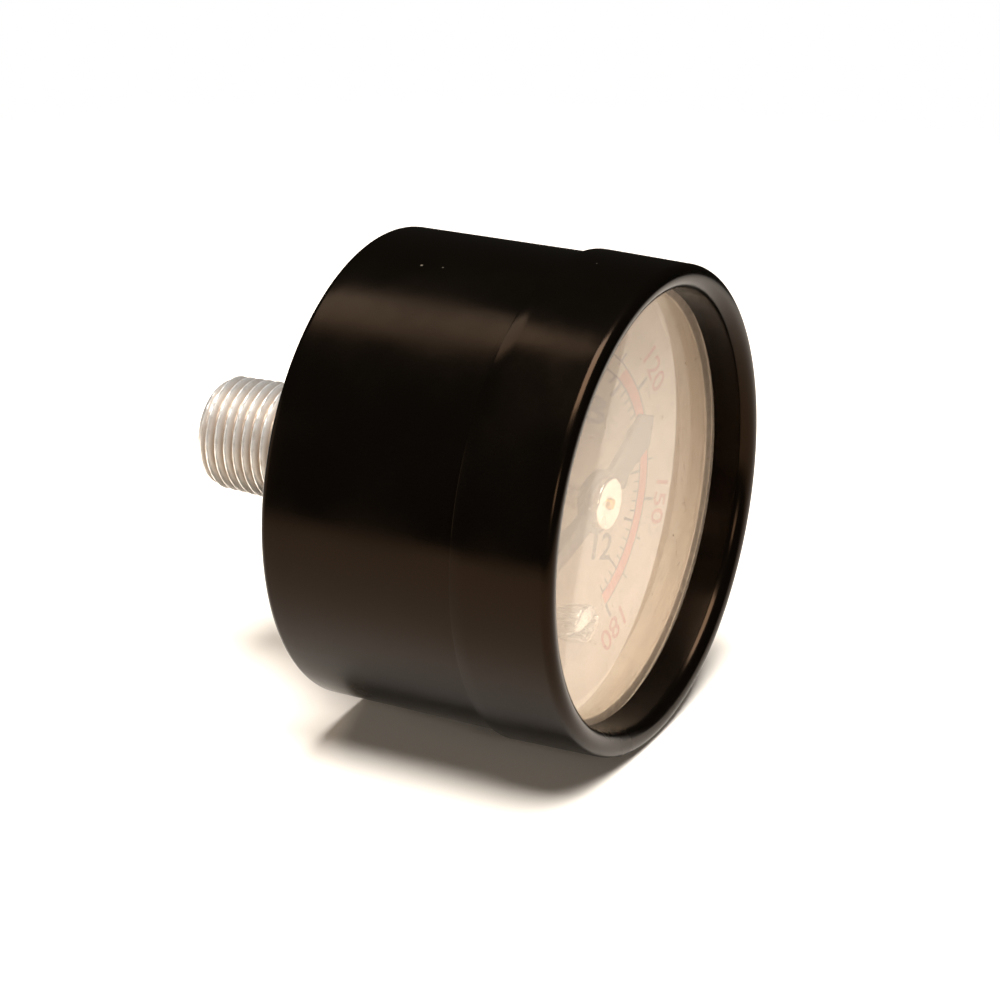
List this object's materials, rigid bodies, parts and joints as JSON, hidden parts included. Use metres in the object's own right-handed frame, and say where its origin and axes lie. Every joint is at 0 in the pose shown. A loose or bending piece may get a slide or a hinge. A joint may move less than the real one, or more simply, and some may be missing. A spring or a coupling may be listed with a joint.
{
  "type": "pressure gauge",
  "caption": "Small round dial pressure gauge in a black cup case with a rolled bezel and a threaded stem out of the centre of its back.",
  "frame": {"origin": "on the gauge's axis, where the stem's thread meets its wrench flats", "axes": "+Y along the stem, out of the back of the case; the dial faces -Y; +Z points to the dial's 12 o'clock and +X to its 3 o'clock"},
  "size_m": [0.042, 0.043, 0.042],
  "materials": {
    "case_paint": "gloss black stoving enamel on deep-drawn steel",
    "bezel_paint": "gloss black stoving enamel on rolled steel",
    "lens_clear": "clear, slightly hazed and scratched",
    "gasket": "pale moulded rubber",
    "white_ring": "moulded white plastic",
    "dial_paint": "matt off-white paint with printed scales",
    "pointer_paint": "matt black paint on thin sheet",
    "bright_metal": "bright nickel plate",
    "stem_plate": "zinc-plated, cut thread",
    "zinc_screws": "zinc-plated",
    "steel": "turned steel",
    "brass": "rolled and turned brass",
    "bronze": "drawn phosphor bronze"
  },
  "bodies": {
    "housing": {"case": "case_paint", "bezel_ring": "bezel_paint", "lens": "lens_clear", "lens_gasket": "gasket", "spacer_ring": "white_ring", "dial_plate": "dial_paint", "dial_screws": "zinc_screws", "dial_posts": "brass", "socket": "stem_plate", "restrictor": "brass", "case_screws": "zinc_screws", "bourdon_tube": "bronze", "hairspring": "bronze", "hairspring_stud": "brass", "back_plate": "brass", "front_plate": "brass", "plate_pillars": "brass", "plate_screws": "zinc_screws", "movement_screws": "zinc_screws"},
    "sector": {"sector_gear": "brass", "sector_arbor": "steel"},
    "pointer_arbor": {"pinion_arbor": "brass", "pointer": "pointer_paint", "pointer_hub": "bright_metal", "hairspring_collet": "brass"},
    "tip": {"tube_tip": "brass", "tip_rivet": "brass"},
    "link": {"link": "brass", "link_rivet": "brass"}
  },
  "joints": [
    {"name": "sector_swing", "type": "hinge", "parent": "housing", "child": "sector", "pos_m": [-0.00979, -0.017, -0.00456], "axis": [0, -1, 0], "range_deg": [0, 33.75], "stiffness_Nm_per_rad": 0.02},
    {"name": "pointer_spin", "type": "hinge", "parent": "housing", "child": "pointer_arbor", "pos_m": [0, -0.017, 0], "axis": [0, 1, 0], "range_deg": [0, 270], "deforming": ["hairspring"]},
    {"name": "tip_travel", "type": "hinge", "parent": "housing", "child": "tip", "pos_m": [0.00541, -0.016, -0.00154], "axis": [0, -1, 0], "range_deg": [0, 7.2], "deforming": ["bourdon_tube"]},
    {"name": "link_turn", "type": "hinge", "parent": "tip", "child": "link", "pos_m": [-0.01166, -0.016, -0.00944], "axis": [0, 1, 0], "range_deg": [0, 4.4]}
  ],
  "couplings": [
    {"joint": "pointer_spin", "follows": "sector_swing", "ratio": 8},
    {"joint": "tip_travel", "follows": "sector_swing", "ratio": 0.2107},
    {"joint": "link_turn", "follows": "sector_swing", "ratio": 0.1288}
  ]
}
